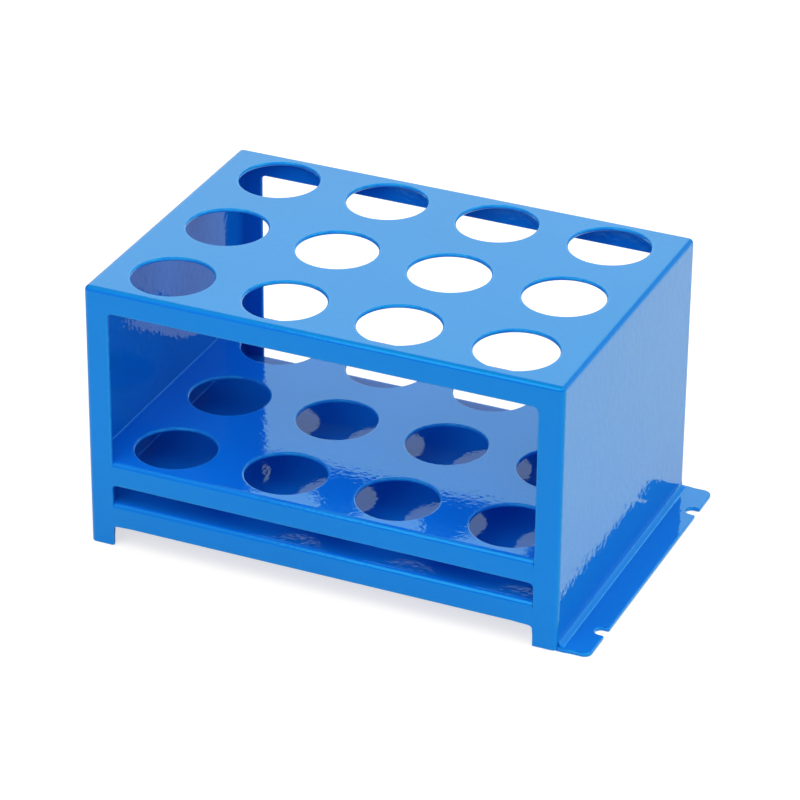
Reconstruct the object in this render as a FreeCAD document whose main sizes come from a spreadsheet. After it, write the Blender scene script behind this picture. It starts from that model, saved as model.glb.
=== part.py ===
# Tube rack, folded from sheet steel and welded.
# Two end plates, each with a post folded in at the front and at the back, carry a drilled
# top plate, a drilled shelf and a plain base plate. The right end plate turns out at the
# floor into a flange with two open screw notches.
# Millimetres. +X runs along the rack towards the flange, +Y to the back and +Z up. The
# origin is on the floor, under the middle of the whole footprint.
import FreeCAD
import Part
import Sketcher
import os

from FreeCAD import Vector

SIZES = {
    "rack_length": 182.4,     # outside, from end plate to end plate
    "rack_depth": 126.7,      # outside, front to back
    "rack_height": 104.1,     # floor to top face
    "gauge": 1.5,             # sheet thickness
    "fold_outer": 2.0,        # outside radius of every fold
    "post_width": 9.4,        # end plate's folded post, seen from the front
    "lip_height": 9.4,        # folded lip of a plate, seen from the front
    "shelf_level": 34.6,      # floor to the shelf's top face
    "base_level": 17.7,       # floor to the base plate's top face
    "hole_bore": 30.0,        # tube hole, diameter
    "hole_pitch": 43.8,       # between tube holes, both ways
    "hole_columns": 4,
    "hole_rows": 3,
    "flange_reach": 12.0,     # flange edge beyond the right end plate
    "flange_inset": 0.75,     # from the rack's front and back to the flange's two ends
    "flange_fold": 2.5,       # inside radius where the flange turns out
    "flange_corner": 3.0,     # rounding of the flange's two outer corners
    "notch_width": 4.8,       # open screw notch, clear of an M4 screw
    "notch_depth": 4.4,       # from the flange edge to the notch's closed end
    "notch_spacing": 92.0,    # between the two notches
    "notch_mouth": 0.6,       # rounding of a notch's two mouth corners
    "foot_corner": 0.8,       # rounding of the left posts' inner bottom corners
    "root_gap": 0.2,          # between a lip's right end and the post; its left end touches
    "weld_radius": 1.3,       # hollow of the welds in the corners of the front and the back
    "seam_radius": 0.5,       # hollow of the runs along the end plates
}

# planes and places that several pieces share, as expressions of the sizes
LEFT = "(-(dims.rack_length + dims.flange_reach) / 2)"
RIGHT = "((dims.rack_length - dims.flange_reach) / 2)"
MIDDLE = "(-dims.flange_reach / 2)"
FRONT = "(-dims.rack_depth / 2)"
BACK = "(dims.rack_depth / 2)"
FRONT_INSIDE = "(-dims.rack_depth / 2 + dims.gauge)"
BACK_INSIDE = "(dims.rack_depth / 2 - dims.gauge)"
FOLD_INNER = "(dims.fold_outer - dims.gauge)"
FLAT_DEPTH = "(dims.rack_depth - 2 * dims.fold_outer)"
MITRE_SLOPE = "(dims.lip_height / dims.post_width)"
LIP_ENDS = {"left": "dims.post_width", "right": "(dims.post_width + dims.root_gap)"}
LEVELS = {"top": "dims.rack_height", "shelf": "dims.shelf_level", "base": "dims.base_level"}

doc = FreeCAD.newDocument("tube_rack")


def fill_sheet():
    sheet = doc.addObject("Spreadsheet::Sheet", "dims")
    for row, (alias, size) in enumerate(SIZES.items(), start=1):
        sheet.set(f"A{row}", alias)
        sheet.set(f"B{row}", str(size))
        sheet.setAlias(f"B{row}", alias)
    doc.recompute()
    return sheet


def value(expression):
    return float(dims.evalExpression(expression))


def inward(side, distance):
    """X of a plane that lies a distance inside the left or right end plate's outer face."""
    return f"({LEFT} + {distance})" if side == "left" else f"({RIGHT} - {distance})"


def new_body(label):
    body = doc.addObject("PartDesign::Body", label)
    body.Label = label
    return body


def new_sketch(body, name, role, offset="0"):
    """Sketch on one of the body's own origin planes, moved along the plane's normal."""
    sketch = body.newObject("Sketcher::SketchObject", f"{body.Name}_{name}")
    plane = next(feature for feature in body.Origin.OriginFeatures if feature.Role == role)
    sketch.AttachmentSupport = [(plane, "")]
    sketch.MapMode = "FlatFace"
    sketch.setExpression("AttachmentOffset.Base.z", offset)
    return sketch


def bind(sketch, kind, *where, expression):
    """Constraint whose value is tied to the sheet."""
    index = sketch.addConstraint(Sketcher.Constraint(kind, *where, value(expression)))
    sketch.setExpression(f"Constraints[{index}]", expression)


def pin_point(sketch, geometry, vertex, x, y):
    bind(sketch, "DistanceX", -1, 1, geometry, vertex, expression=x)
    bind(sketch, "DistanceY", -1, 1, geometry, vertex, expression=y)


def arc_between(start, end, centre):
    """Minor arc and the numbers of the vertices it starts and ends at."""
    ahead = (start - centre).cross(end - centre).z > 0
    first, last = (start, end) if ahead else (end, start)
    circle = Part.Circle(centre, Vector(0, 0, 1), (start - centre).Length)
    arc = Part.ArcOfCircle(circle, circle.parameter(first), circle.parameter(last))
    return arc, (1, 2) if ahead else (2, 1)


def draw_outline(sketch, *path):
    """Closed outline of points (x, y). A point (x, y, centre x, centre y, radius) starts an arc."""
    points = [Vector(value(spec[0]), value(spec[1]), 0) for spec in path]
    pieces = []
    for spec, start, end in zip(path, points, points[1:] + points[:1]):
        if len(spec) == 2:
            pieces.append((sketch.addGeometry(Part.LineSegment(start, end)), 1, 2))
        else:
            arc, vertices = arc_between(start, end, Vector(value(spec[2]), value(spec[3]), 0))
            geometry = sketch.addGeometry(arc)
            bind(sketch, "Radius", geometry, expression=spec[4])
            pieces.append((geometry, *vertices))
    for spec, before, piece in zip(path, pieces[-1:] + pieces[:-1], pieces):
        sketch.addConstraint(Sketcher.Constraint("Coincident", before[0], before[2], piece[0], piece[1]))
        pin_point(sketch, piece[0], piece[1], spec[0], spec[1])


def draw_rectangle(sketch, low_x, high_x, low_y, high_y):
    draw_outline(sketch, (low_x, low_y), (high_x, low_y), (high_x, high_y), (low_x, high_y))


def draw_circle(sketch, x, y, diameter):
    circle = Part.Circle(Vector(value(x), value(y), 0), Vector(0, 0, 1), value(diameter) / 2)
    geometry = sketch.addGeometry(circle)
    bind(sketch, "Diameter", geometry, expression=diameter)
    pin_point(sketch, geometry, 3, x, y)


def extrude(body, kind, sketch, length, symmetric=False):
    """Pad or Pocket of a sketch, along its normal or to both sides of it."""
    feature = body.newObject(f"PartDesign::{kind}", f"{sketch.Name}_{kind.lower()}")
    feature.Profile = sketch
    feature.setExpression("Length", length)
    if symmetric:
        feature.SideType = "Symmetric"
    doc.recompute()
    if kind == "Pocket" and feature.Shape.Volume > feature.BaseFeature.Shape.Volume - 1e-6:
        raise RuntimeError(f"{feature.Name} cuts nothing")
    return feature


def edges_along(shape, axis, **places):
    """Names of the straight edges along an axis that lie at each given coordinate."""
    names = []
    for number, edge in enumerate(shape.Edges, start=1):
        if edge.Degenerated or not isinstance(edge.Curve, Part.Line):
            continue
        if abs(getattr(edge.Curve.Direction, axis)) < 0.999:
            continue
        middle = edge.CenterOfMass
        if all(abs(getattr(middle, key) - value(place)) < 1e-3 for key, place in places.items()):
            names.append(f"Edge{number}")
    return names


def round_edges(body, name, radius, edges):
    base = body.Tip
    fillet = body.newObject("PartDesign::Fillet", f"{body.Name}_{name}")
    fillet.Base = (base, edges)
    fillet.setExpression("Radius", radius)
    doc.recompute()
    return fillet


def drill_tube_holes(body, level):
    """Grid of through holes, centred on the plate: one pocket, repeated along X and Y."""
    sketch = new_sketch(body, "hole", "XY_Plane", level)
    first_x = f"({MIDDLE} - (dims.hole_columns - 1) / 2 * dims.hole_pitch)"
    first_y = "(-(dims.hole_rows - 1) / 2 * dims.hole_pitch)"
    draw_circle(sketch, first_x, first_y, "dims.hole_bore")
    hole = extrude(body, "Pocket", sketch, "dims.gauge")
    grid = body.newObject("PartDesign::LinearPattern", f"{body.Name}_hole_grid")
    grid.Originals = [hole]
    grid.Direction = (sketch, ["H_Axis"])
    grid.Direction2 = (sketch, ["V_Axis"])
    grid.setExpression("Occurrences", "dims.hole_columns")
    grid.setExpression("Occurrences2", "dims.hole_rows")
    grid.setExpression("Length", "(dims.hole_columns - 1) * dims.hole_pitch")
    grid.setExpression("Length2", "(dims.hole_rows - 1) * dims.hole_pitch")
    body.Tip = grid
    doc.recompute()


def mitre_line(side):
    """Two points on the seam between the top plate and an end plate, just past its two ends."""
    rise = f"{MITRE_SLOPE} * dims.gauge"
    outer = (inward(side, "(-dims.gauge)"), f"(dims.rack_height + {rise})")
    inner = (inward(side, "(dims.post_width + dims.gauge)"),
             f"(dims.rack_height - dims.lip_height - {rise})")
    return outer, inner


def make_top_plate():
    """Plate with its front and back folded down, mitred at both ends to meet the end plates."""
    body = new_body("top_plate")
    block = new_sketch(body, "block", "XY_Plane", "dims.rack_height - dims.lip_height")
    draw_rectangle(block, LEFT, RIGHT, FRONT, BACK)
    pad = extrude(body, "Pad", block, "dims.lip_height")
    outer = []
    for x in (LEFT, RIGHT):
        outer += edges_along(pad.Shape, "z", x=x)
        outer += edges_along(pad.Shape, "y", x=x, z="dims.rack_height")
    for y in (FRONT, BACK):
        outer += edges_along(pad.Shape, "x", y=y, z="dims.rack_height")
    round_edges(body, "outer_folds", "dims.fold_outer", outer)
    hollow = new_sketch(body, "hollow", "YZ_Plane", MIDDLE)
    underside = "(dims.rack_height - dims.gauge)"
    draw_rectangle(hollow, FRONT_INSIDE, BACK_INSIDE,
                   "dims.rack_height - dims.lip_height - dims.gauge", underside)
    extrude(body, "Pocket", hollow, "dims.rack_length + 2 * dims.gauge", symmetric=True)
    inner = []
    for y in (FRONT_INSIDE, BACK_INSIDE):
        inner += edges_along(body.Tip.Shape, "x", y=y, z=underside)
    round_edges(body, "inner_folds", FOLD_INNER, inner)
    for side in ("left", "right"):
        mitre = new_sketch(body, f"mitre_{side}", "XZ_Plane")
        upper, lower = mitre_line(side)
        draw_outline(mitre, upper, lower, (upper[0], lower[1]))
        extrude(body, "Pocket", mitre, "dims.rack_depth + 2 * dims.gauge", symmetric=True)
    drill_tube_holes(body, LEVELS["top"])
    return body


def make_lipped_plate(label, level):
    """Plate with a lip folded down between the posts, and a flat tab between them at each end."""
    body = new_body(label)
    section = new_sketch(body, "section", "YZ_Plane", f"{MIDDLE} - dims.root_gap / 2")
    underside = f"({level} - dims.gauge)"
    lip_edge = f"({level} - dims.lip_height)"
    draw_outline(section, (FRONT, lip_edge), (FRONT, level), (BACK, level), (BACK, lip_edge),
                 (BACK_INSIDE, lip_edge), (BACK_INSIDE, underside),
                 (FRONT_INSIDE, underside), (FRONT_INSIDE, lip_edge))
    lip_length = f"dims.rack_length - {LIP_ENDS['left']} - {LIP_ENDS['right']}"
    pad = extrude(body, "Pad", section, lip_length, symmetric=True)
    outer = [name for y in (FRONT, BACK) for name in edges_along(pad.Shape, "x", y=y, z=level)]
    folded = round_edges(body, "outer_folds", "dims.fold_outer", outer)
    inner = []
    for y in (FRONT_INSIDE, BACK_INSIDE):
        inner += edges_along(folded.Shape, "x", y=y, z=underside)
    round_edges(body, "inner_folds", FOLD_INNER, inner)
    tabs = new_sketch(body, "tabs", "XY_Plane", underside)
    for side in ("left", "right"):
        ends = [inward(side, "dims.gauge"), inward(side, LIP_ENDS[side])]
        draw_rectangle(tabs, *sorted(ends, key=value), FRONT_INSIDE, BACK_INSIDE)
    tabbed = extrude(body, "Pad", tabs, "dims.gauge")
    corners = []
    for side in ("left", "right"):
        corners += edges_along(tabbed.Shape, "z", x=inward(side, "dims.gauge"))
    round_edges(body, "tab_corners", "dims.fold_outer", corners)
    return body


def make_end_plate(side):
    """Plate with its front and back folded in to make two posts, mitred to meet the top plate."""
    body = new_body(f"{side}_end_plate")
    face = inward(side, "0")
    post_edge = inward(side, "dims.post_width")
    block = new_sketch(body, "block", "XY_Plane")
    draw_rectangle(block, *sorted([face, post_edge], key=value), FRONT, BACK)
    pad = extrude(body, "Pad", block, "dims.rack_height")
    outer = edges_along(pad.Shape, "z", x=face)
    outer += edges_along(pad.Shape, "y", x=face, z="dims.rack_height")
    for y in (FRONT, BACK):
        outer += edges_along(pad.Shape, "x", y=y, z="dims.rack_height")
    round_edges(body, "outer_folds", "dims.fold_outer", outer)
    hollow = new_sketch(body, "hollow", "XY_Plane", "dims.rack_height")
    inside = inward(side, "dims.gauge")
    past_posts = inward(side, "(dims.post_width + dims.gauge)")
    draw_rectangle(hollow, *sorted([inside, past_posts], key=value), FRONT_INSIDE, BACK_INSIDE)
    hollowed = extrude(body, "Pocket", hollow, "dims.rack_height")
    round_edges(body, "inner_folds", FOLD_INNER, edges_along(hollowed.Shape, "z", x=inside))
    mitre = new_sketch(body, "mitre", "XZ_Plane")
    upper, lower = mitre_line(side)
    draw_outline(mitre, upper, lower, (lower[0], upper[1]))
    extrude(body, "Pocket", mitre, "dims.rack_depth + 2 * dims.gauge", symmetric=True)
    return body


def round_foot_corners(body):
    """The left posts' inner bottom corners, which stand free of the floor flange."""
    edges = edges_along(body.Tip.Shape, "y", x=inward("left", "dims.post_width"), z="0")
    round_edges(body, "foot_corners", "dims.foot_corner", edges)


def add_flange(body):
    """Fold the flat of the right end plate outwards at the floor. The flange's two ends reach
    past the flat and close up to the post folds."""
    web_end = "(dims.gauge + dims.flange_fold)"
    web_inside = f"({RIGHT} - dims.gauge)"
    edge = f"({RIGHT} + dims.flange_reach)"
    room = new_sketch(body, "flange_room", "XZ_Plane")
    draw_rectangle(room, f"({RIGHT} - 2 * dims.gauge)", f"({RIGHT} + dims.gauge)",
                   "(-dims.gauge)", web_end)
    extrude(body, "Pocket", room, FLAT_DEPTH, symmetric=True)
    section = new_sketch(body, "flange", "XZ_Plane")
    fold_x = f"({RIGHT} + dims.flange_fold)"
    outside_radius = "(dims.flange_fold + dims.gauge)"
    draw_outline(section, (fold_x, "0"), (edge, "0"), (edge, "dims.gauge"),
                 (fold_x, "dims.gauge", fold_x, web_end, "dims.flange_fold"),
                 (RIGHT, web_end),
                 (web_inside, web_end, fold_x, web_end, outside_radius))
    extrude(body, "Pad", section, FLAT_DEPTH, symmetric=True)
    ends = new_sketch(body, "flange_ends", "XY_Plane")
    inside_fold = f"({RIGHT} - dims.gauge / 2)"
    draw_rectangle(ends, inside_fold, edge, f"({FRONT} + dims.flange_inset)", f"({FRONT} + dims.fold_outer)")
    draw_rectangle(ends, inside_fold, edge, f"({BACK} - dims.fold_outer)", f"({BACK} - dims.flange_inset)")
    flange = extrude(body, "Pad", ends, "dims.gauge")
    corners = edges_along(flange.Shape, "z", x=edge)
    round_edges(body, "flange_corners", "dims.flange_corner", corners)
    cut_notches(body, edge)


def cut_notches(body, edge):
    """Two screw notches with a round closed end, open at the flange's edge."""
    half = "dims.notch_width / 2"
    end_centre = f"({edge} - dims.notch_depth + {half})"
    past_edge = f"({edge} + dims.notch_width)"
    notches = new_sketch(body, "notches", "XY_Plane", "dims.gauge")
    for sign in ("-", "+"):
        centre = f"({sign}dims.notch_spacing / 2)"
        low, high = f"({centre} - {half})", f"({centre} + {half})"
        tip = f"({edge} - dims.notch_depth)"
        draw_outline(notches, (past_edge, low), (past_edge, high),
                     (end_centre, high, end_centre, centre, half),
                     (tip, centre, end_centre, centre, half),
                     (end_centre, low))
    cut = extrude(body, "Pocket", notches, "dims.gauge")
    mouths = []
    for sign in ("-", "+"):
        for lip in ("-", "+"):
            y = f"({sign}dims.notch_spacing / 2 {lip} {half})"
            mouths += edges_along(cut.Shape, "z", x=edge, y=y)
    round_edges(body, "notch_mouths", "dims.notch_mouth", mouths)


def make_seam(level_name, side):
    """Fillet run along the corner between a plate's top face and an end plate's inside."""
    body = new_body(f"seam_{level_name}_{side}")
    level = LEVELS[level_name]
    wall = inward(side, "dims.gauge")
    toe = inward(side, "(dims.gauge + dims.seam_radius)")
    crown = f"({level} + dims.seam_radius)"
    section = new_sketch(body, "section", "XZ_Plane")
    draw_outline(section, (wall, level), (toe, level, toe, crown, "dims.seam_radius"), (wall, crown))
    extrude(body, "Pad", section, FLAT_DEPTH, symmetric=True)
    return body


def make_lip_weld(level_name, face, side):
    """Weld in the corner between a lip and a post, hollow on its open side.

    The shelf's and the base plate's lips have a root gap at the right, which it fills as well.
    """
    body = new_body(f"weld_{level_name}_{face}_{side}")
    level = LEVELS[level_name]
    lip_edge = f"({level} - dims.lip_height)"
    post_edge = inward(side, "dims.post_width")
    toe = inward(side, "(dims.post_width + dims.weld_radius)")
    heel = f"({lip_edge} - dims.weld_radius)"
    outside = "(dims.rack_depth / 2 - dims.gauge)" if face == "front" else FRONT
    section = new_sketch(body, "section", "XZ_Plane", outside)
    corner = [(toe, lip_edge, toe, heel, "dims.weld_radius"), (post_edge, heel)]
    if level_name == "top" or side == "left":
        corner.append((post_edge, lip_edge))
    else:
        lip_end = inward(side, LIP_ENDS[side])
        crown = f"({level} - dims.fold_outer)"
        corner += [(post_edge, crown), (lip_end, crown), (lip_end, lip_edge)]
    draw_outline(section, *corner)
    extrude(body, "Pad", section, "dims.gauge")
    return body


def make_all():
    bodies = [make_top_plate()]
    shelf = make_lipped_plate("tube_shelf", LEVELS["shelf"])
    drill_tube_holes(shelf, LEVELS["shelf"])
    bodies += [shelf, make_lipped_plate("base_plate", LEVELS["base"])]
    left, right = make_end_plate("left"), make_end_plate("right")
    round_foot_corners(left)
    add_flange(right)
    bodies += [left, right]
    for side in ("left", "right"):
        bodies += [make_seam(level_name, side) for level_name in ("shelf", "base")]
        for face in ("front", "back"):
            bodies += [make_lip_weld(level_name, face, side) for level_name in LEVELS]
    return bodies


def check(bodies):
    failed = [item.Name for item in doc.Objects if {"Invalid", "Error"} & set(item.State)]
    loose = [item.Name for item in doc.Objects
             if item.TypeId == "Sketcher::SketchObject" and not item.FullyConstrained]
    broken = [body.Label for body in bodies
              if body.Shape.isNull() or not body.Shape.isValid() or len(body.Shape.Solids) != 1]
    if failed or loose or broken:
        raise RuntimeError(f"failed {failed}, not fully constrained {loose}, broken {broken}")


dims = fill_sheet()
pieces = make_all()
doc.recompute()
check(pieces)
os.makedirs("parts", exist_ok=True)
for piece in pieces:
    piece.Shape.exportStep(f"parts/{piece.Label}.step")
    print(f"{piece.Label}: {piece.Shape.Volume:.1f} mm3")
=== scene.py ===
from math import cos, radians, sin

import bpy
import numpy as np
from mathutils import Matrix, Vector


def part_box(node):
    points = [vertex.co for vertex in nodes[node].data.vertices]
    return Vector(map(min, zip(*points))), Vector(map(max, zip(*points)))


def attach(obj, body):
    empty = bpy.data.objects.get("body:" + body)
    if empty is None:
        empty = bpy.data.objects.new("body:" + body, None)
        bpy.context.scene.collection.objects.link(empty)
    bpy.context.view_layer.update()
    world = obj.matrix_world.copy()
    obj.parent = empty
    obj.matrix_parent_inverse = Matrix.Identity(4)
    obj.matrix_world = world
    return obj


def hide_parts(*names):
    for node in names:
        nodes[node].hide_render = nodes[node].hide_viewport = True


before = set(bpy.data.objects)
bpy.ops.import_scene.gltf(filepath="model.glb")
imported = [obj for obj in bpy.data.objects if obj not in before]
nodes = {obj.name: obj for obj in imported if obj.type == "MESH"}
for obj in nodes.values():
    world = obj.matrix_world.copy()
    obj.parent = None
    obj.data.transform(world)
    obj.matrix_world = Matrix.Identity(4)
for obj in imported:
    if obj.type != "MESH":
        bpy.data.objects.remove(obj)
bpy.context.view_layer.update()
mm = 0.001
close = 1e-6  # lengths this near count as the same, in millimetres
tiny = 1e-9  # keeps a division safe where nothing is divided by nothing
far = 1000  # a side on which a box is open, in millimetres
print("stage: frame loaded,", len(nodes), "nodes")

# sizes that all five sheets share, in millimetres in the CAD frame
rack = {
    "left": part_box("left_end_plate")[0][0] / mm,
    "half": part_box("left_end_plate")[1][1] / mm,  # half of the depth
    "height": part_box("top_plate")[1][2] / mm,
    "length": 182.4,  # over the end plates, without the flange
    "gauge": 1.5,
    "fold": 2.0,  # outer radius of every fold
    "turns": 6,  # facets in half a fold
    "post": 9.4,
    "lip": 9.4,
    "across": (3.5, 5.5, 7.5),  # grid lines across a lip or post, past its fold
    "edgeLine": 0.9,  # from the last of them to the cut edge
    "weld": 1.3,  # reach of the corner welds
    "rim": 0.6,  # how round the coat makes a cut edge
    "butt": 0.02,  # rim of an edge that is welded to its neighbour
    "rimTurns": 5,
    "mitreLimit": 0.6,  # keeps a rim's mitre short where two borders meet sharply
    "skinWear": 0.4,  # wear beside a cut edge, as a share of the edge's own
}
rack["right"] = rack["left"] + rack["length"]
rack["middle"] = (rack["left"] + rack["right"]) / 2
rack["core"] = (  # one fold inside the rack's faces, open below
    (rack["left"] + rack["fold"], rack["fold"] - rack["half"], -far),
    (rack["right"] - rack["fold"], rack["half"] - rack["fold"], rack["height"] - rack["fold"]),
)


def spread(marks, counts):
    # grid lines: every stretch between two marks is divided evenly into its count
    runs = [np.linspace(a, b, n, endpoint=False) for a, b, n in zip(marks[:-1], marks[1:], counts)]
    return np.concatenate(runs + [marks[-1:]])


def foldLines(corner):
    # grid lines across a fold whose sharp corner would be at this distance: the even turns of a
    # quarter circle seen from its centre, fold * (1 - tan(angle)) either side of the corner
    reach = rack["fold"] * (1 - np.tan(np.linspace(np.pi / 4, 0, rack["turns"] + 1)))
    return corner + np.concatenate([-reach[:0:-1], reach])


def stripLines(width):
    # grid lines across a lip or post, as distances past the sharp corner: the fold's, then a few, then two at
    # the cut edge
    return np.concatenate([foldLines(0), rack["across"], [width - rack["edgeLine"], width]])


def mergeLines(*runs):
    # sorted grid lines with the repeats taken out
    lines = np.sort(np.concatenate(runs))
    return lines[np.concatenate([[True], np.diff(lines) > close])]


def lineAt(lines, value):
    # the number of the grid line nearest to a value
    return int(np.argmin(np.abs(lines - value)))


def gridFaces(index):
    # one four-sided face for each cell of a grid of point numbers
    return np.stack([index[:-1, :-1], index[:-1, 1:], index[1:, 1:], index[1:, :-1]], axis=-1)


def gridPoints(x, y, z):
    # one grid of points from three coordinates, each a grid, a row, a column or a number
    return np.stack(np.broadcast_arrays(x, y, z), axis=2)


def roundFolds(sharp, low, high):
    # a folded sheet from a sharp-edged one: the nearest point of a core box that stands one fold radius
    # inside, plus the radius along the way from there to the sharp point
    core = np.clip(sharp, low, high)
    way = sharp - core
    way = way / np.linalg.norm(way, axis=1, keepdims=True)
    return core + rack["fold"] * way, way


def roundCorner(u, v, coreU, coreV):
    # a sheet's corner in its own plane: each square ring of points about the core's corner is moved onto a
    # circle, by the ratio of its longer step to its slanting one
    stepU, stepV = u - coreU, v - coreV
    reach = np.maximum(np.abs(stepU), np.abs(stepV)) / np.maximum(np.hypot(stepU, stepV), tiny)
    return coreU + stepU * reach, coreV + stepV * reach


def flatPatch(columns, rows, keep=None):
    # the points (column, row) of a flat blank and its faces, less the cells that a mask drops
    index = np.arange(len(rows) * len(columns)).reshape(len(rows), len(columns))
    u, v = np.meshgrid(columns, rows)
    faces = gridFaces(index)
    faces = faces.reshape(-1, 4) if keep is None else faces[keep]
    return {"flat": np.column_stack([u.ravel(), v.ravel()]), "faces": faces}


def drillPatches(columns, rows, holes):
    # each hole's cell becomes rings: side + t * (circle - side), with t from 0 at the cell's sides to 1 at a
    # circle round the hole, and the circle's point in the same direction from the middle as the side's point;
    # the last ring is the bore itself
    keep = np.ones((len(rows) - 1, len(columns) - 1), bool)
    reach = holes["pitch"] / 2
    patches = []
    for x, y in holes["centres"]:
        j0, j1 = lineAt(columns, x - reach), lineAt(columns, x + reach)
        i0 = lineAt(rows, max(y - reach, rows[holes["first"]]))
        i1 = lineAt(rows, min(y + reach, rows[holes["last"]]))
        keep[i0:i1, j0:j1] = False
        side = np.concatenate([
            np.column_stack([columns[j0:j1], np.full(j1 - j0, rows[i0])]),
            np.column_stack([np.full(i1 - i0, columns[j1]), rows[i0:i1]]),
            np.column_stack([columns[j1:j0:-1], np.full(j1 - j0, rows[i1])]),
            np.column_stack([np.full(i1 - i0, columns[j0]), rows[i1:i0:-1]]),
        ])
        way = side - (x, y)
        way = way / np.linalg.norm(way, axis=1, keepdims=True)
        bore = (x, y) + holes["bore"] / 2 * way
        rings = side + np.array(holes["rings"])[:, None, None] * (bore + holes["margin"] * way - side)
        rings = np.concatenate([rings, bore[None]])
        index = np.arange(rings.shape[0] * rings.shape[1]).reshape(rings.shape[:2])
        rim = np.where(index < index[-1, 0], rack["rim"], holes["rim"])
        faces = gridFaces(np.column_stack([index, index[:, :1]]))
        patches.append({"flat": rings.reshape(-1, 2), "faces": faces.reshape(-1, 4), "rim": rim.ravel()})
    return keep, patches


def joinSkin(patches):
    # patches that meet edge to edge become one skin: points that fall together are merged, and the
    # smallest rim among them is kept
    points = np.concatenate([p["points"] for p in patches])
    starts = np.cumsum([0] + [len(p["points"]) for p in patches[:-1]])
    faces = np.concatenate([p["faces"] + s for p, s in zip(patches, starts)])
    _, first, merged = np.unique(np.round(points, 4), axis=0, return_index=True, return_inverse=True)
    merged = merged.ravel()
    rim = np.full(len(first), np.inf)
    np.minimum.at(rim, merged, np.concatenate([p["rim"] for p in patches]))
    return {
        "points": points[first],
        "normals": np.concatenate([p["normals"] for p in patches])[first],
        "faces": merged[faces],
        "rim": rim,
    }


def sheetFromSkin(skin):
    # a closed sheet from its outer skin: the inner skin is one gauge below along the normal, and round every
    # border runs a rim, two quarter circles of the rim's radius r with a straight wall between them:
    # point - out * r * (1 - sin(a)) - normal * r * (1 - cos(a)), a from 0 to 90 degrees, and its mirror image
    points, normals, faces, gauge = skin["points"], skin["normals"], skin["faces"], rack["gauge"]
    count = len(points)
    edges = faces[:, [0, 1, 1, 2, 2, 3, 3, 0]].reshape(-1, 2)
    single = ~np.isin(edges[:, 0] * count + edges[:, 1], edges[:, 1] * count + edges[:, 0])
    border = edges[single]
    side = np.cross(points[border[:, 1]] - points[border[:, 0]], normals[border[:, 0]] + normals[border[:, 1]])
    side /= np.linalg.norm(side, axis=1, keepdims=True)
    out = np.zeros_like(points)
    np.add.at(out, border[:, 0], side)
    np.add.at(out, border[:, 1], side)
    out *= 2 / np.maximum((out ** 2).sum(axis=1, keepdims=True), rack["mitreLimit"])  # a mitre at corners
    ring = np.unique(border)
    place = np.zeros(count, int)
    place[ring] = np.arange(len(ring))
    r = skin["rim"][ring][:, None]
    away, normal = out[ring], normals[ring]
    outward = away / np.maximum(np.linalg.norm(away, axis=1, keepdims=True), close)
    outer, inner = points.copy(), points - normals * gauge
    outer[ring] -= away * r
    inner[ring] -= away * r
    upper, lower = [], []  # the rim's rows, each as its points and their normals
    for a in np.linspace(0, np.pi / 2, rack["rimTurns"] + 1)[1:]:
        brink = points[ring] - away * r * (1 - sin(a))
        upper.append((brink - normal * r * (1 - cos(a)), normal * cos(a) + outward * sin(a)))
        lower.insert(0, (brink - normal * (gauge - r * (1 - cos(a))), outward * sin(a) - normal * cos(a)))
    rows = upper + lower
    ids = [2 * count + k * len(ring) + place for k in range(len(rows))]
    ids = [np.arange(count)] + ids + [np.arange(count) + count]
    a, b = border.T
    walls = [np.column_stack([top[b], top[a], low[a], low[b]]) for top, low in zip(ids[:-1], ids[1:])]
    worn = np.zeros(count)
    worn[ring] = np.minimum(skin["rim"][ring] / rack["rim"], 1)
    return {
        "points": np.concatenate([outer, inner] + [row[0] for row in rows]),
        "normals": np.concatenate([normals, -normals] + [row[1] for row in rows]),
        "faces": np.concatenate([faces, faces[:, ::-1] + count] + walls),
        "worn": np.concatenate([rack["skinWear"] * worn] * 2 + [worn[ring]] * len(rows)),
    }


def corners(sheet, axis):
    # one coordinate of every face's four corners
    return sheet["points"][sheet["faces"]][:, :, axis]


def facing(sheet, x, y, z, limit=0.7):
    # faces whose mean normal comes nearer to a direction than the limit, a cosine
    return sheet["normals"][sheet["faces"]].mean(axis=1) @ (x, y, z) > limit


def frontBack(sheet):
    return facing(sheet, 0, 1, 0) | facing(sheet, 0, -1, 0)


def inward(sheet):
    # inner faces of lips and posts, which get the painted shade: close to the rack's front or back, and turned
    # to its middle
    y = corners(sheet, 1).mean(axis=1)
    turned = facing(sheet, 0, 1, 0) & (y < 0) | facing(sheet, 0, -1, 0) & (y > 0)
    return turned & (np.abs(y) > rack["half"] - rack["fold"])


def addSheet(name, node, sheet, rub, main, *others):
    mesh = bpy.data.meshes.new(name)
    mesh.from_pydata((sheet["points"] * mm).tolist(), [], sheet["faces"].tolist())
    mesh.polygons.foreach_set("use_smooth", np.ones(len(sheet["faces"]), bool))
    normals = sheet["normals"] / np.linalg.norm(sheet["normals"], axis=1, keepdims=True)
    mesh.normals_split_custom_set_from_vertices(normals.tolist())
    for key, values in (("worn", sheet["worn"]), ("rubbed", rub)):
        attribute = mesh.attributes.new(key, "FLOAT", "POINT")
        attribute.data.foreach_set("value", np.asarray(values, np.float32))
    piece = bpy.data.objects.new(name, mesh)
    bpy.context.scene.collection.objects.link(piece)
    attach(piece, "root")
    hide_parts(node)
    mesh.materials.append(main)
    chosen = np.zeros(len(sheet["faces"]), np.int32)
    for count, (material, where) in enumerate(others):  # lit and shaded copies of the enamel, painted light and shade, on the faces picked out
        mesh.materials.append(material)
        chosen[where] = count + 1
    mesh.polygons.foreach_set("material_index", chosen)
    print("stage:", name, len(mesh.vertices), "points", len(mesh.polygons), "faces")


def feed(tree, value, socket):
    # a number or a colour is set on the socket, and another node's output is linked to it
    if isinstance(value, tuple):
        socket.default_value = (*value, 1)
    elif isinstance(value, (int, float)):
        socket.default_value = value
    else:
        tree.links.new(value, socket)


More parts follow.
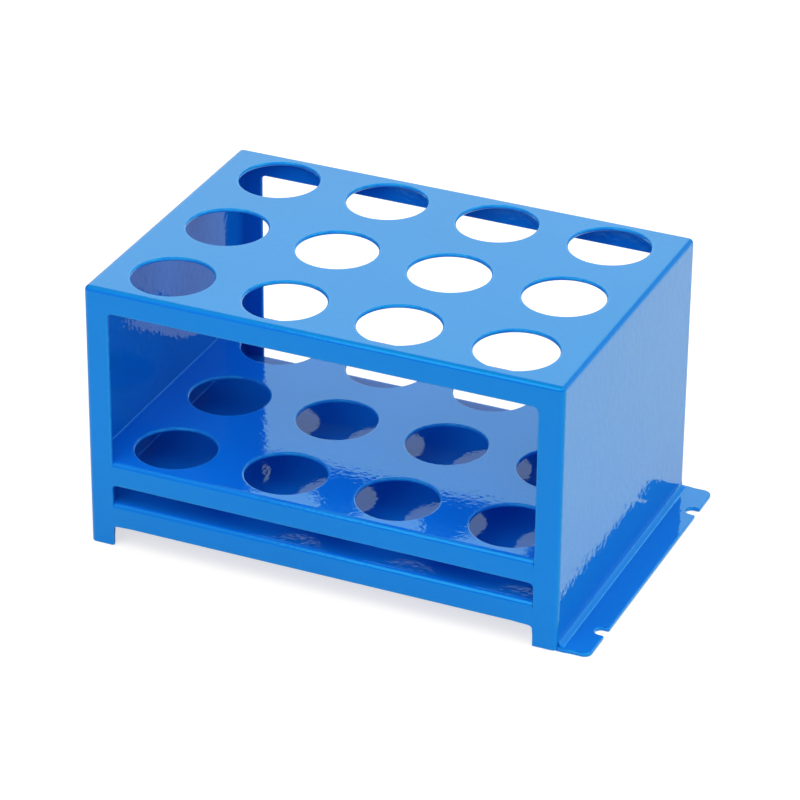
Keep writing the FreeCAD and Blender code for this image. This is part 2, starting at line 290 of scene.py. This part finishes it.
def sums(tree, kind, *values):
    node = tree.nodes.new("ShaderNodeMath")
    node.operation = kind
    for value, socket in zip(values, node.inputs):
        feed(tree, value, socket)
    return node.outputs["Value"]


def mixed(tree, share, one, two):
    node = tree.nodes.new("ShaderNodeMix")
    node.data_type = "RGBA"
    for value, socket in zip((share, one, two), (node.inputs["Factor"], node.inputs[6], node.inputs[7])):
        feed(tree, value, socket)
    return node.outputs[2]


def span(tree, value, fromLow, fromHigh, toLow, toHigh, kind="LINEAR"):
    node = tree.nodes.new("ShaderNodeMapRange")
    node.interpolation_type = kind
    limits = {"From Min": fromLow, "From Max": fromHigh, "To Min": toLow, "To Max": toHigh}
    for key, number in {"Value": value, **limits}.items():
        feed(tree, number, node.inputs[key])
    return node.outputs["Result"]


# enamel: one glossy blue coat on everything, made in lit and shaded copies, one for each kind of face, whose
# blue and gloss are set for the light that face gets and what it mirrors: painted light, painted shade and
# painted reflections
coat = {
    "peel": {"fine": (1.7 * mm, 0.038 * mm), "coarse": (2.6 * mm, 0.095 * mm)},  # crest to crest, and depth
    "litAndShadedCopies": {  # lit and shaded copies of the coat: the blue, the colour of its gloss, the gloss's index and the orange peel
        "face": ((0.0040, 0.208, 0.950), (0.08, 1.0, 0.90), 1.8, "fine"),
        # the top plate's top: less blue and a less blue gloss, painted light for the light falling on it
        "top": ((0.0040, 0.212, 0.785), (0.00, 1.0, 0.35), 1.7, "fine"),
        # the right end's outer wall: less blue and a stronger gloss, painted light and painted reflection for
        # the light from the right and the floor it mirrors
        "end": ((0.0040, 0.213, 0.840), (0.03, 1.0, 0.70), 1.85, "coarse"),
        # the shelf's flat: less blue and a less blue gloss, painted light and shade for the light that reaches
        # it under the top plate
        "shelf": ((0.0040, 0.200, 0.910), (0.08, 1.0, 0.55), 1.7, "fine"),
        # the flange's bend: more green in the blue and a stronger gloss, a painted highlight along the bend
        "bend": ((0.0040, 0.245, 0.930), (0.08, 1.0, 0.60), 1.9, "fine"),
        # the flange's flat: less blue and a less blue gloss, painted light for the light on the flange
        "flange": ((0.0040, 0.208, 0.815), (0.00, 1.0, 0.60), 1.7, "fine"),
        # the left end's inside: a low index and an uncoloured gloss, so it mirrors less, painted shade in its
        # reflections
        "wall": ((0.0036, 0.200, 0.770), (0.00, 1.0, 0.00), 1.28, "coarse"),
        # inner faces of lips and posts, and the base's face under the shelf: a darker blue and a weaker gloss,
        # painted shade
        "inside": ((0.0036, 0.192, 0.770), (0.20, 0.8, 0.40), 1.4, "fine"),
    },
    "deep": 0.95,  # share of the blue where the coat is a little thicker
    "cloudSize": 60 * mm,  # thicker and thinner coat
    "cloudRange": (0.35, 0.65),  # the part of the noise that counts
    "thinBlue": (0.0200, 0.300, 0.900),  # where it draws back from a cut edge
    "edgeSize": 3 * mm,
    "edgeShare": (0.35, 0.85),  # how much of the thin blue shows along an edge
    "dust": (0.30, 0.42, 0.62),  # a few grains caught in the coat
    "dustCell": 6 * mm,
    "dustSize": (0.020, 0.034),  # where a grain begins and ends to fade, in cells
    "dustFree": 0.86,  # share of the cells without a grain
    "dustShare": 0.5,
    "dustRough": 0.4,
    "roughness": (0.020, 0.045),
    "smearSize": 11 * mm,
    "smearRange": (0.40, 0.70),
    "rubSize": 2 * mm,
    "rubRough": 0.10,  # added at most where tubes rub
    "waveSize": 42 * mm,  # the sheet's own slight unevenness
    "waveDepth": 0.100 * mm,
    "rippleSize": 2.2 * mm,  # of the weld metal under the coat
    "rippleDepth": 0.020 * mm,
}


def makeEnamel(name, litCopy, rippled=False):
    blue, sheen, index, peel = coat["litAndShadedCopies"][litCopy]
    material = bpy.data.materials.new(name)
    material.use_nodes = True
    tree = material.node_tree
    shader = tree.nodes["Principled BSDF"]
    shader.inputs["IOR"].default_value = index
    shader.inputs["Specular Tint"].default_value = (*sheen, 1)
    place = tree.nodes.new("ShaderNodeTexCoord").outputs["Object"]

    def noise(size, detail, rough=0.5):
        node = tree.nodes.new("ShaderNodeTexNoise")
        for key, value in {"Vector": place, "Scale": 1 / size, "Detail": detail, "Roughness": rough}.items():
            feed(tree, value, node.inputs[key])
        return node.outputs["Fac"]

    def attribute(key):
        node = tree.nodes.new("ShaderNodeAttribute")
        node.attribute_name = key
        return node.outputs["Fac"]

    cells = tree.nodes.new("ShaderNodeTexVoronoi")
    cells.inputs["Scale"].default_value = 1 / coat["dustCell"]
    tree.links.new(place, cells.inputs["Vector"])
    lot = tree.nodes.new("ShaderNodeSeparateColor")  # draws the cells that have a grain
    tree.links.new(cells.outputs["Color"], lot.inputs["Color"])
    grain = span(tree, cells.outputs["Distance"], *coat["dustSize"], 1, 0)
    grain = sums(tree, "MULTIPLY", grain, sums(tree, "GREATER_THAN", lot.outputs[0], coat["dustFree"]))
    grain = sums(tree, "MULTIPLY", grain, coat["dustShare"])

    cloud = span(tree, noise(coat["cloudSize"], 3), *coat["cloudRange"], 0, 1)
    drawn = span(tree, noise(coat["edgeSize"], 3), *coat["cloudRange"], *coat["edgeShare"])
    colour = mixed(tree, cloud, tuple(coat["deep"] * share for share in blue), blue)
    colour = mixed(tree, sums(tree, "MULTIPLY", attribute("worn"), drawn), colour, coat["thinBlue"])
    colour = mixed(tree, grain, colour, coat["dust"])
    tree.links.new(colour, shader.inputs["Base Color"])

    smear = span(tree, noise(coat["smearSize"], 4, 0.6), *coat["smearRange"], *coat["roughness"])
    rub = span(tree, noise(coat["rubSize"], 3), *coat["smearRange"], 0.0, coat["rubRough"])
    rough = sums(tree, "ADD", smear, sums(tree, "MULTIPLY", attribute("rubbed"), rub))
    rough = sums(tree, "ADD", rough, sums(tree, "MULTIPLY", grain, coat["dustRough"]))
    tree.links.new(rough, shader.inputs["Roughness"])

    peelSize, peelDepth = coat["peel"][peel]
    layers = [(noise(coat["waveSize"], 1), coat["waveDepth"]), (noise(peelSize, 1), peelDepth)]
    if rippled:
        layers.append((noise(coat["rippleSize"], 2), coat["rippleDepth"]))
    level = None
    for height, depth in layers:  # each bump stands on the one before
        bump = tree.nodes.new("ShaderNodeBump")
        bump.inputs["Distance"].default_value = depth
        bump.inputs["Strength"].default_value = 1
        tree.links.new(height, bump.inputs["Height"])
        if level is not None:
            tree.links.new(level, bump.inputs["Normal"])
        level = bump.outputs["Normal"]
    tree.links.new(level, shader.inputs["Normal"])
    return material


# the plain coat, then its copies with painted light, painted shade and painted reflections for the other kinds
# of face
enamel = makeEnamel("blueEnamel", "face")
topLitEnamel = makeEnamel("blueEnamelTopLit", "top")
endLitEnamel = makeEnamel("blueEnamelEndsLit", "end")
shelfLitEnamel = makeEnamel("blueEnamelShelfLit", "shelf")
flangeLitEnamel = makeEnamel("blueEnamelFlangeLit", "flange")
bendHighlightEnamel = makeEnamel("blueEnamelBendHighlight", "bend")
wallShadeEnamel = makeEnamel("blueEnamelWallShade", "wall")
insideShadeEnamel = makeEnamel("blueEnamelInsideShade", "inside")
weldEnamel = makeEnamel("blueEnamelOverWeld", "face", rippled=True)
print("stage: enamel mixed")


# the twelve tube places, the same in the top plate and the shelf
places = {
    "columns": 4,
    "rows": 3,
    "pitch": 43.8,
    "bore": 30.0,
    "segments": 20,  # of the grid across a place
    "rings": (0, 0.4, 0.75, 1),  # from a place's sides to its margin
    "margin": 1.5,  # ring of even width round a bore
    "rim": 0.7,
    "rubReach": 1.4,
}
xHoles = rack["middle"] + places["pitch"] * (np.arange(places["columns"]) - (places["columns"] - 1) / 2)
yHoles = places["pitch"] * (np.arange(places["rows"]) - (places["rows"] - 1) / 2)
places["centres"] = [(x, y) for y in yHoles for x in xHoles]


def rubbedAt(points):
    # how much tubes have rubbed: exp(-gap / rubReach), with the gap to the nearest bore's edge
    ways = [np.hypot(points[:, 0] - x, points[:, 1] - y) for x, y in places["centres"]]
    gaps = [np.abs(way - places["bore"] / 2) for way in ways]
    return np.exp(-np.min(gaps, axis=0) / places["rubReach"])


def fieldRows(segments):
    # lines across a plate's flat, which end where its lips' folds begin
    inside = rack["half"] - rack["fold"]
    cell = places["pitch"] / 2
    return spread([-inside, -cell, cell, inside], [segments] * 3)


# top plate: lips in front and behind, mitred to the end plates at both ends
topPlate = {"segments": places["segments"], "endSegments": 2}


def topSkin(plan):
    # blank (x, b): beyond half the depth, b runs down the lip as e = |b| - half, and x shrinks towards the
    # middle by e at each end, which is the mitre; then all the folds are rounded together
    cell = places["pitch"] * places["columns"] / 2
    inside = [rack["core"][0][0], rack["middle"] - cell, rack["middle"] + cell, rack["core"][1][0]]
    columns = mergeLines(
        foldLines(rack["left"])[rack["turns"]:],
        spread(inside, [plan["endSegments"], plan["segments"] * places["columns"], plan["endSegments"]]),
        foldLines(rack["right"])[:rack["turns"] + 1],
    )
    field = fieldRows(plan["segments"])
    down = stripLines(rack["lip"])
    rows = mergeLines(-rack["half"] - down, field, rack["half"] + down)
    first, last = lineAt(rows, field[0]), lineAt(rows, field[-1])
    keep, patches = drillPatches(columns, rows, {**places, "first": first, "last": last})
    patches.append(flatPatch(columns, rows, keep))
    for patch in patches:
        x, b = patch["flat"].T
        e = np.maximum(np.abs(b) - rack["half"], 0)
        shrink = e * rack["post"] / rack["lip"] / (rack["length"] / 2)
        slid = rack["middle"] + (x - rack["middle"]) * (1 - shrink)
        sharp = np.column_stack([slid, np.clip(b, -rack["half"], rack["half"]), rack["height"] - e])
        patch["points"], patch["normals"] = roundFolds(sharp, *rack["core"])
        ends = np.abs(x - rack["middle"]) > rack["length"] / 2 - close
        weldFrom = rack["length"] / 2 - rack["post"] - rack["weld"]
        toes = (e > rack["lip"] - close) & (np.abs(slid - rack["middle"]) > weldFrom)
        patch["rim"] = np.where(ends | toes, rack["butt"], patch.get("rim", rack["rim"]))
    return joinSkin(patches)


sheet = sheetFromSkin(topSkin(topPlate))
# the top in its lit copy, painted light, the lips in the plain coat, and the lips' inner faces in painted
# shade
litAndShadedCopies = [(enamel, frontBack(sheet)), (insideShadeEnamel, inward(sheet))]
addSheet("enamelledTopPlate", "top_plate", sheet, rubbedAt(sheet["points"]), topLitEnamel, *litAndShadedCopies)


# shelf and base: the same plate between the end plates, its lips between the posts
tubeShelf = {
    "level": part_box("tube_shelf")[1][2] / mm,
    "segments": places["segments"],
    "endSegments": 3,
    "drilled": True,
    "rootGap": 0.2,
    "endCorner": 2.0,
}
basePlate = {**tubeShelf, "level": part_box("base_plate")[1][2] / mm, "segments": 8, "drilled": False}


def levelSkin(plan):
    # blank (x, b) as the top plate's, but the lips stop at the posts, and beside the posts the flat goes on
    # to the posts' inner faces; its outer corners are rounded like the fold they lie in
    left, right = rack["left"] + rack["gauge"], rack["right"] - rack["gauge"]
    lipLeft, lipRight = rack["left"] + rack["post"], rack["right"] - rack["post"] - plan["rootGap"]
    cell = places["pitch"]
    block = rack["middle"] - 2 * cell
    n, few = plan["segments"], plan["endSegments"]
    marks = [left, block, lipLeft, block + cell, block + 2 * cell]
    marks += [block + 3 * cell, lipRight, block + 4 * cell, right]
    columns = spread(marks, [few, few, n - few, n, n, n - few, few, few])
    rows = fieldRows(n)
    patches, keep = [], None
    if plan["drilled"]:
        keep, patches = drillPatches(columns, rows, {**places, "first": 0, "last": -1})
    patches.append(flatPatch(columns, rows, keep))
    between = columns[(columns > lipLeft - close) & (columns < lipRight + close)]
    beside = [columns[columns < lipLeft + close], columns[columns > lipRight - close]]
    behind = mergeLines([rows[-1]], rack["half"] + stripLines(rack["lip"]))
    patches += [flatPatch(between, behind), flatPatch(between, -behind[::-1])]
    tab = np.array([rows[-1], rack["half"] - rack["gauge"]])
    patches += [flatPatch(run, lines) for run in beside for lines in (tab, -tab[::-1])]
    for patch in patches:
        x, b = patch["flat"].T
        e = np.maximum(np.abs(b) - rack["half"], 0)
        if np.abs(b).max() < rack["half"]:  # flat, without a lip
            coreX = np.clip(x, left + plan["endCorner"], right - plan["endCorner"])
            coreB = np.clip(b, plan["endCorner"] - tab[1], tab[1] - plan["endCorner"])
            roundX, roundB = roundCorner(x, b, coreX, coreB)
            patch["points"] = np.column_stack([roundX, roundB, np.full(len(x), plan["level"])])
            patch["normals"] = np.tile((0.0, 0.0, 1.0), (len(x), 1))
        else:
            sharp = np.column_stack([x, np.clip(b, -rack["half"], rack["half"]), plan["level"] - e])
            patch["points"], patch["normals"] = roundFolds(
                sharp,
                (-far, rack["fold"] - rack["half"], -far),
                (far, rack["half"] - rack["fold"], plan["level"] - rack["fold"]),
            )
        ends = (x < left + close) | (x > right - close) | (np.abs(np.abs(b) - tab[1]) < close)
        lipEnds = (np.abs(b) > rows[-1] - close) & ((x < lipLeft + close) | (x > lipRight - close))
        toes = (e > rack["lip"] - close) & ((x < lipLeft + rack["weld"]) | (x > lipRight - rack["weld"]))
        patch["rim"] = np.where(ends | lipEnds | toes, rack["butt"], patch.get("rim", rack["rim"]))
    return joinSkin(patches)


sheet = sheetFromSkin(levelSkin(tubeShelf))
# the shelf's flat in its lit copy, painted light and shade, its lips in the plain coat
litAndShadedCopies = [(enamel, frontBack(sheet))]
addSheet("enamelledShelf", "tube_shelf", sheet, rubbedAt(sheet["points"]), shelfLitEnamel, *litAndShadedCopies)
sheet = sheetFromSkin(levelSkin(basePlate))
upper = (corners(sheet, 2) > basePlate["level"] - close).all(axis=1)  # its flat upper face, under the shelf, which gets the painted shade
addSheet("enamelledBase", "base_plate", sheet, np.zeros(len(sheet["points"])), enamel, (insideShadeEnamel, upper))


# end plates: posts folded in at the front and back, the right one turned out at the floor into a flange
leftEnd = {"side": -1, "columns": 25, "footCorner": 0.8}
rightEnd = {
    "side": 1,
    "footCorner": 0.0,
    "edge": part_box("right_end_plate")[1][0] / mm,  # the flange's free edge
    "flangeFold": 2.5,  # radius inside the flange's bend
    "bendTurns": 8,
    "inset": 0.75,  # from the rack's front and back to the flange's ends
    "rim": 0.45,
    "corner": 3.0,
    "notchAt": 46.0,
    "notchWidth": 4.8,
    "notchDepth": 4.4,
    "notchMouth": 0.6,
    "cornerTurns": 6,
    "notchTurns": 18,
    "longRun": 13,  # segments of the edge between the notches
    "shortRun": 4,  # and between a notch and a corner
    "cornerFoot": 6.0,  # stretch of the bend that a corner is ruled to
    "notchFoot": 6.5,  # and half of the stretch for a notch
    "ruling": (0, 0.17, 0.36, 0.65, 1),  # grid lines from the edge to the bend
    "tuck": 0.1,  # how far the flange's flat reaches under the posts' folds
    # faces that get the flange's lit copy and the bend's painted highlight:
    "flangeFaces": (0.5, 0, 0.87),  # the way they look
    "bendFaces": (0.71, 0, 0.71, 0.87),  # and how closely, as a cosine
    "bendSlack": 0.1,
}
postLines = {"foot": (0, 0.9, 1.5, 2.2, 3.0, 4.0), "squeeze": 14.0, "below": 9, "above": 6}  # up a post
squeezeFrom = rack["height"] - postLines["squeeze"]  # above this a post's lines close up to its mitred top
joints = [plan["level"] - rack["lip"] for plan in (basePlate, tubeShelf)]  # cut edges of the two lower lips


def wallPoints(plan, c, z):
    # girth (c, z): beyond half the depth, c runs in along the post as e = |c| - half; above a set height z
    # shrinks by e at the top, which is the mitre; a foot's inner corner is rounded; then the folds are
    # rounded together
    e = np.maximum(np.abs(c) - rack["half"], 0)
    inner = e > rack["post"] - close
    top = z > rack["height"] - close
    if plan["footCorner"]:
        coreE = np.minimum(e, rack["post"] - plan["footCorner"])
        e, z = roundCorner(e, z, coreE, np.maximum(z, plan["footCorner"]))
    mitre = rack["height"] - e * rack["lip"] / rack["post"]
    squeezed = squeezeFrom + (z - squeezeFrom) * (mitre - squeezeFrom) / (rack["height"] - squeezeFrom)
    up = np.where(z > squeezeFrom, squeezed, z)
    face = rack["right"] if plan["side"] > 0 else rack["left"]
    sharp = np.column_stack([face - plan["side"] * e, np.clip(c, -rack["half"], rack["half"]), up])
    points, normals = roundFolds(sharp, *rack["core"])
    joined = np.zeros(len(c), bool)
    for heel in joints + [rack["height"] - rack["lip"]]:
        joined |= inner & (up > heel - rack["weld"] - close) & (up < heel + rack["lip"] - rack["fold"] + close)
    return points, normals, np.where(joined | top, rack["butt"], rack["rim"])


def flangeOutline(plan):
    # the flange's cut edge from front to back as points (x, y), and the place along the bend that each point
    # is ruled to: rounded corner, straight, notch, straight, notch, straight, rounded corner
    edge, side, radius = plan["edge"], rack["half"] - plan["inset"], plan["corner"]
    half, mouth, notchAt = plan["notchWidth"] / 2, plan["notchMouth"], plan["notchAt"]
    quarter = np.linspace(0, np.pi / 2, plan["cornerTurns"] + 1)
    corner = np.column_stack([edge - radius + radius * np.sin(quarter), radius * (1 - np.cos(quarter)) - side])
    lipIn = np.column_stack([edge - mouth + mouth * np.cos(quarter), mouth * np.sin(quarter) - half - mouth])
    bowl = np.linspace(-np.pi / 2, np.pi / 2, plan["notchTurns"] + 1)
    bottom = np.column_stack([edge - plan["notchDepth"] + half * (1 - np.cos(bowl)), half * np.sin(bowl)])
    notch = np.concatenate([lipIn, bottom, lipIn[::-1] * (1, -1)])
    long = np.linspace(0, 1, plan["longRun"] + 1)[1:-1, None]
    short = np.linspace(0, 1, plan["shortRun"] + 1)[1:-1, None]
    before, after = notch - (0, notchAt), notch + (0, notchAt)
    parts = [
        corner,
        corner[-1] + short * (before[0] - corner[-1]),
        before,
        before[-1] + long * (after[0] - before[-1]),
        after,
    ]
    parts += [part[::-1] * (1, -1) for part in (parts[1], corner)]
    outline = np.concatenate(parts)
    feet = [-side, rack["fold"] - rack["half"], plan["cornerFoot"] - side]
    feet += [-notchAt - plan["notchFoot"], plan["notchFoot"] - notchAt]
    feet = np.array(feet + [-f for f in feet[::-1]])
    steps = [0, 1, len(corner) - 2, plan["shortRun"], len(notch) - 1]
    marks = np.cumsum(steps + [plan["longRun"]] + steps[:0:-1])
    return outline, np.interp(np.arange(len(outline)), marks, feet)


def flangePatches(plan, outline, feet):
    # straight lines from the flange's cut edge to the bend's foot, then a quarter circle up to the wall; past
    # the wall's ends the flat goes on to the posts' folds, half + sqrt(fold ** 2 - s ** 2) round them
    half, fold, gauge, bendFold = rack["half"], rack["fold"], rack["gauge"], plan["flangeFold"]
    foot = rack["right"] + bendFold
    root = np.column_stack([np.full(len(feet), foot), feet])
    ruled = outline + np.array(plan["ruling"])[:, None, None] * (root - outline)
    turn = np.linspace(0, np.pi / 2, plan["bendTurns"] + 1)[:, None]
    bow = feet[np.abs(feet) < half - fold + close]
    curl = gridPoints(foot - bendFold * np.sin(turn), bow, gauge + bendFold - bendFold * np.cos(turn))
    lean = gridPoints(np.sin(turn), 0 * bow, np.cos(turn))
    level = gridPoints(ruled[:, :, 0], ruled[:, :, 1], gauge)
    grids = [(level, None, plan["rim"]), (curl, lean, plan["rim"])]
    for run in (feet[feet > half - fold - close], feet[feet < fold - half + close]):
        reach = rack["right"] - fold + np.sqrt(fold ** 2 - (np.abs(run) - half + fold) ** 2) - plan["tuck"]
        share = np.array([0, 0.5, 1])[:, None]
        grids.append((gridPoints(foot + share * (reach - foot), run, gauge), None, rack["butt"]))
    patches = []
    for grid, normals, rim in grids:
        index = np.arange(grid.shape[0] * grid.shape[1]).reshape(grid.shape[:2])
        flat = np.tile((0.0, 0.0, 1.0), (index.size, 1))
        patches.append({
            "points": grid.reshape(-1, 3),
            "normals": flat if normals is None else normals.reshape(-1, 3),
            "faces": gridFaces(index).reshape(-1, 4),
            "rim": np.full(index.size, rim),
        })
    return patches


def endSkin(plan):
    # blank (c, z): the girth from one post's cut edge round to the other's, and the height; on the right the
    # wall begins above the flange's bend, and only the posts go on to the floor
    half, fold, lip = rack["half"], rack["fold"], rack["lip"]
    post = half + stripLines(rack["post"])
    heights = [*postLines["foot"], squeezeFrom, rack["height"] - lip - rack["weld"], rack["height"] - lip]
    for joint in joints:
        heights += [joint - rack["weld"], joint, joint + (lip - fold) / 2, joint + lip - fold, joint + lip]
    rows = mergeLines(
        heights,
        spread([joints[1] + lip, squeezeFrom], [postLines["below"]]),
        spread([squeezeFrom, rack["height"] - fold], [postLines["above"]]),
        foldLines(rack["height"])[:rack["turns"] + 1],
    )
    if plan["side"] < 0:
        wall = flatPatch(mergeLines(-post, np.linspace(fold - half, half - fold, plan["columns"]), post), rows)
        wall["faces"] = wall["faces"][:, ::-1]  # its outside faces the other way
        patches, flange = [wall], []
    else:
        outline, feet = flangeOutline(plan)
        bend = rack["gauge"] + plan["flangeFold"]
        columns = mergeLines(-post, feet[np.abs(feet) < half - fold + close], post)
        low = rows[rows < bend + close]
        patches = [flatPatch(columns, rows[rows > bend - close])]
        patches.append(flatPatch(columns[columns > half - fold - close], low))
        patches.append(flatPatch(columns[columns < fold - half + close], low))
        flange = flangePatches(plan, outline, feet)
    for patch in patches:
        patch["points"], patch["normals"], patch["rim"] = wallPoints(plan, *patch["flat"].T)
    return joinSkin(patches + flange)


ends = (("enamelledLeftEnd", "left_end_plate", leftEnd), ("enamelledRightEnd", "right_end_plate", rightEnd))
for name, node, plan in ends:
    sheet = sheetFromSkin(endSkin(plan))
    towards = facing(sheet, 1, 0, 0)  # the left one's inside, the right one's outside
    # the left end's inside mirrors less, painted shade; the inner faces of the posts are darker, painted shade
    litAndShadedCopies = [(wallShadeEnamel, towards), (insideShadeEnamel, inward(sheet))]
    if plan["side"] > 0:
        # the right end's outer wall in its lit copy, painted light and reflection; its flange in the flange's
        # lit copy; its bend in a painted highlight
        low = corners(sheet, 2).max(axis=1) < rack["gauge"] + plan["flangeFold"] + plan["bendSlack"]
        litAndShadedCopies[0] = (endLitEnamel, towards)
        litAndShadedCopies.append((flangeLitEnamel, facing(sheet, *plan["flangeFaces"]) & ~towards))
        litAndShadedCopies.append((bendHighlightEnamel, facing(sheet, *plan["bendFaces"]) & low))
    addSheet(name, node, sheet, np.zeros(len(sheet["points"])), enamel, *litAndShadedCopies)


# weld metal keeps its CAD shape under the same coat
for name, node in nodes.items():
    if name.startswith(("weld_", "seam_")):
        node.data.materials.clear()
        node.data.materials.append(weldEnamel)
print("stage: welds coated")


# white floor
whiteFloor = {
    "size": 12.0,
    "colour": (0.70, 0.685, 0.65),
    "shown": (0.60, 0.57, 0.52),  # to the camera, which leaves a fainter shadow
    "glow": 0.66,  # lifts it to white for the camera
    "mirrored": 0.46,  # and a little less in the paint
}
mesh = bpy.data.meshes.new("whiteFloor")
reach = whiteFloor["size"] / 2
square = [(-reach, -reach, 0), (reach, -reach, 0), (reach, reach, 0), (-reach, reach, 0)]
mesh.from_pydata(square, [], [(0, 1, 2, 3)])
floor = bpy.data.objects.new("whiteFloor", mesh)
bpy.context.scene.collection.objects.link(floor)
material = bpy.data.materials.new("whiteFloor")
material.use_nodes = True
tree = material.node_tree
tree.nodes.clear()
rays = tree.nodes.new("ShaderNodeLightPath").outputs
matt = tree.nodes.new("ShaderNodeBsdfDiffuse")
paint = mixed(tree, rays["Is Camera Ray"], whiteFloor["colour"], whiteFloor["shown"])
tree.links.new(paint, matt.inputs["Color"])
mirrored = sums(tree, "MAXIMUM", rays["Is Glossy Ray"], rays["Is Transmission Ray"])
mirrored = sums(tree, "MULTIPLY", mirrored, whiteFloor["mirrored"])
lift = sums(tree, "MULTIPLY_ADD", rays["Is Camera Ray"], whiteFloor["glow"], mirrored)
glow = tree.nodes.new("ShaderNodeEmission")
tree.links.new(lift, glow.inputs["Strength"])
both = tree.nodes.new("ShaderNodeAddShader")
tree.links.new(matt.outputs[0], both.inputs[0])
tree.links.new(glow.outputs[0], both.inputs[1])
end = tree.nodes.new("ShaderNodeOutputMaterial")
tree.links.new(both.outputs[0], end.inputs["Surface"])
mesh.materials.append(material)

# studio: a dim room, a pale sweep all round that fades overhead, and soft boxes
studio = {
    "room": 0.10,
    "sweep": 0.24,  # the sweep's strength over the room's
    "sweepLean": (0.15, 0.12),  # how much stronger it is towards x and y
    "sweepTop": (0.45, 0.85),  # heights (sine) between which it fades
    "boxes": {  # where each hangs, how wide it is and its power
        "backBox": ((-0.62, 1.80, 1.05), 1.8, 12.3),
        "rightBox": ((1.41, 0.0, 1.46), 1.8, 16.5),
        "frontBox": ((0.0, -1.41, 1.46), 1.6, 12.5),
        "fillBox": ((-1.0, -1.0, 1.46), 1.8, 6.0),
        "topBox": ((0.0, 0.0, 2.0), 2.2, 9.5),
    },
    "aim": (0, 0, 0.05),  # the point they all face
}
world = bpy.data.worlds.new("whiteRoom")
bpy.context.scene.world = world
world.use_nodes = True
tree = world.node_tree
way = tree.nodes.new("ShaderNodeTexCoord").outputs["Generated"]
axes = tree.nodes.new("ShaderNodeSeparateXYZ")
tree.links.new(way, axes.inputs["Vector"])
fade = span(tree, axes.outputs["Z"], *studio["sweepTop"], 1, 0, "SMOOTHSTEP")
lean = tree.nodes.new("ShaderNodeVectorMath")
lean.operation = "DOT_PRODUCT"
lean.inputs[1].default_value = (*studio["sweepLean"], 0)
tree.links.new(way, lean.inputs[0])
sweep = sums(tree, "ADD", lean.outputs["Value"], studio["sweep"])
light = tree.nodes["Background"].inputs
light["Color"].default_value = (1, 1, 1, 1)
tree.links.new(sums(tree, "MULTIPLY_ADD", sweep, fade, studio["room"]), light["Strength"])
for name, (at, size, power) in studio["boxes"].items():
    lamp = bpy.data.lights.new(name, "AREA")
    lamp.shape = "SQUARE"
    lamp.size = size
    lamp.energy = power
    box = bpy.data.objects.new(name, lamp)
    box.location = at
    box.rotation_euler = (Vector(studio["aim"]) - Vector(at)).to_track_quat("-Z", "Y").to_euler()
    bpy.context.scene.collection.objects.link(box)
print("stage: floor, room and", len(studio["boxes"]), "soft boxes")

# camera, where the photograph was taken from
photoView = {
    "lens": 178.343,
    "sensor": 36,
    "reach": 50,
    "at": (0.503411, -1.155400, 0.737098),
    "azimuth": 23.659,
    "elevation": 28.631,
    "roll": 0.540,
}
azimuth, elevation, roll = (radians(photoView[key]) for key in ("azimuth", "elevation", "roll"))
back = Vector((sin(azimuth) * cos(elevation), -cos(azimuth) * cos(elevation), sin(elevation)))
right = Vector((cos(azimuth), sin(azimuth), 0))
up = back.cross(right)
turned = (right * cos(roll) + up * sin(roll), up * cos(roll) - right * sin(roll), back)
lens = bpy.data.cameras.new("photoCamera")
lens.lens = photoView["lens"]
lens.sensor_width = photoView["sensor"]
lens.clip_end = photoView["reach"]
camera = bpy.data.objects.new("photoCamera", lens)
camera.matrix_world = Matrix.Translation(photoView["at"]) @ Matrix(turned).transposed().to_4x4()
bpy.context.scene.collection.objects.link(camera)
bpy.context.scene.camera = camera
bpy.context.scene.view_settings.view_transform = "Standard"
print("stage: camera set")
